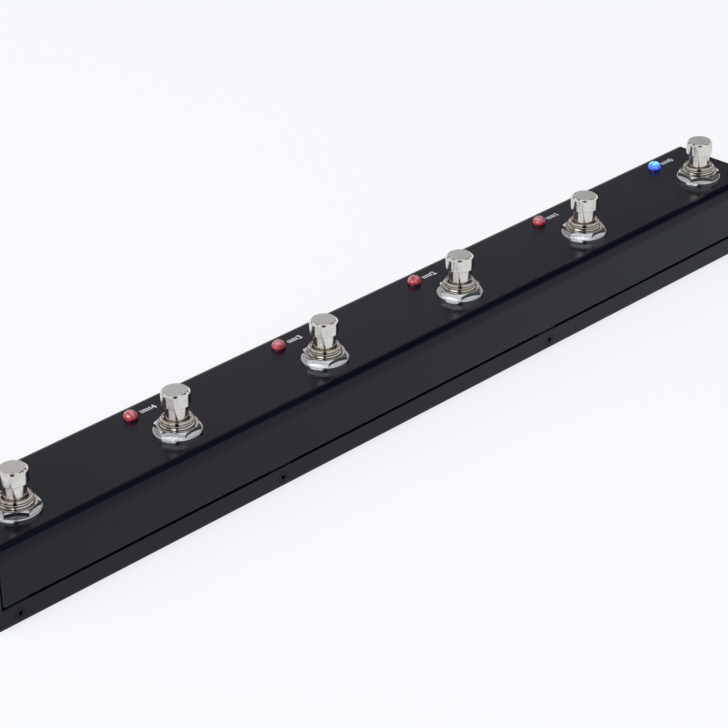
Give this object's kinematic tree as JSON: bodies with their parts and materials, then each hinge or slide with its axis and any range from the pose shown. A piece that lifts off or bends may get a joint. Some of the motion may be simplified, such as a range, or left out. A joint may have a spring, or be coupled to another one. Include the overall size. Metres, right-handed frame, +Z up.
{
  "type": "loop switcher pedal",
  "caption": "Long black sheet-metal pedal with a row of round metal foot switches, a small light behind each, and plug jacks along its back and ends.",
  "frame": {"origin": "middle of the case's footprint, on the surface that the feet stand on", "axes": "+X along the switch row to the right as the player sees it, +Y to the rear, where the jacks are, +Z up"},
  "size_m": [0.3848, 0.046, 0.0462],
  "materials": {
    "black_paint": "satin powder coat with fine grain",
    "zinc": "zinc plated",
    "black_steel": "black oxide",
    "rubber": "matte",
    "turned_nickel": "turned, brushed nickel",
    "nickel": "bright nickel plate",
    "housing_blue": "moulded",
    "spring_steel": "bright wire",
    "white_plastic": "moulded",
    "tinned_brass": "tinned",
    "red_lens": "clear tinted",
    "blue_lens": "clear tinted, lit",
    "resistor": "lacquered",
    "black_plastic": "moulded",
    "wire_green": "extruded insulation"
  },
  "bodies": {
    "case": {"cover": "black_paint", "base_tray": "black_paint", "fixing_tabs": "zinc", "case_screws": "black_steel", "rubber_feet": "rubber", "contact_sliders": "white_plastic", "switch_lugs": "tinned_brass", "switch_washers": "nickel", "switch_lock_washers": "zinc", "switch_nuts": "nickel", "switch_inner_nuts": "nickel", "loop_lights": "red_lens", "bypass_light": "blue_lens", "light_leads": "spring_steel", "light_resistors": "resistor", "jack_sleeves": "nickel", "jack_washers": "nickel", "jack_nuts": "nickel", "jack_contacts": "tinned_brass", "power_inlet": "nickel", "power_inlet_nut": "nickel", "power_inlet_pin": "nickel", "hookup_wires": "wire_green", "jack_input": "black_plastic", "jack_output": "black_plastic", "switch_bushing_1": "nickel", "switch_housing_1": "housing_blue", "return_spring_1": "spring_steel", "switch_bushing_2": "nickel", "switch_housing_2": "housing_blue", "return_spring_2": "spring_steel", "switch_bushing_3": "nickel", "switch_housing_3": "housing_blue", "return_spring_3": "spring_steel", "switch_bushing_4": "nickel", "switch_housing_4": "housing_blue", "return_spring_4": "spring_steel", "switch_bushing_5": "nickel", "switch_housing_5": "housing_blue", "return_spring_5": "spring_steel", "switch_bushing_6": "nickel", "switch_housing_6": "housing_blue", "return_spring_6": "spring_steel", "jack_send_1": "black_plastic", "jack_return_1": "black_plastic", "jack_send_2": "black_plastic", "jack_return_2": "black_plastic", "jack_send_3": "black_plastic", "jack_return_3": "black_plastic", "jack_send_4": "black_plastic", "jack_return_4": "black_plastic", "jack_send_5": "black_plastic", "jack_return_5": "black_plastic"},
    "button_1": {"plunger_1": "turned_nickel"},
    "button_2": {"plunger_2": "turned_nickel"},
    "button_3": {"plunger_3": "turned_nickel"},
    "button_4": {"plunger_4": "turned_nickel"},
    "button_5": {"plunger_5": "turned_nickel"},
    "button_6": {"plunger_6": "turned_nickel"}
  },
  "joints": [
    {"name": "press_1", "type": "slide", "parent": "case", "child": "button_1", "axis": [0, 0, -1], "range_m": [0, 0.0036], "stiffness_N_per_m": 2500, "springref_m": -0.002, "deforming": ["return_spring_1"]},
    {"name": "press_2", "type": "slide", "parent": "case", "child": "button_2", "axis": [0, 0, -1], "range_m": [0, 0.0036], "stiffness_N_per_m": 2500, "springref_m": -0.002, "deforming": ["return_spring_2"]},
    {"name": "press_3", "type": "slide", "parent": "case", "child": "button_3", "axis": [0, 0, -1], "range_m": [0, 0.0036], "stiffness_N_per_m": 2500, "springref_m": -0.002, "deforming": ["return_spring_3"]},
    {"name": "press_4", "type": "slide", "parent": "case", "child": "button_4", "axis": [0, 0, -1], "range_m": [0, 0.0036], "stiffness_N_per_m": 2500, "springref_m": -0.002, "deforming": ["return_spring_4"]},
    {"name": "press_5", "type": "slide", "parent": "case", "child": "button_5", "axis": [0, 0, -1], "range_m": [0, 0.0036], "stiffness_N_per_m": 2500, "springref_m": -0.002, "deforming": ["return_spring_5"]},
    {"name": "press_6", "type": "slide", "parent": "case", "child": "button_6", "axis": [0, 0, -1], "range_m": [0, 0.0036], "stiffness_N_per_m": 2500, "springref_m": -0.002, "deforming": ["return_spring_6"]}
  ]
}
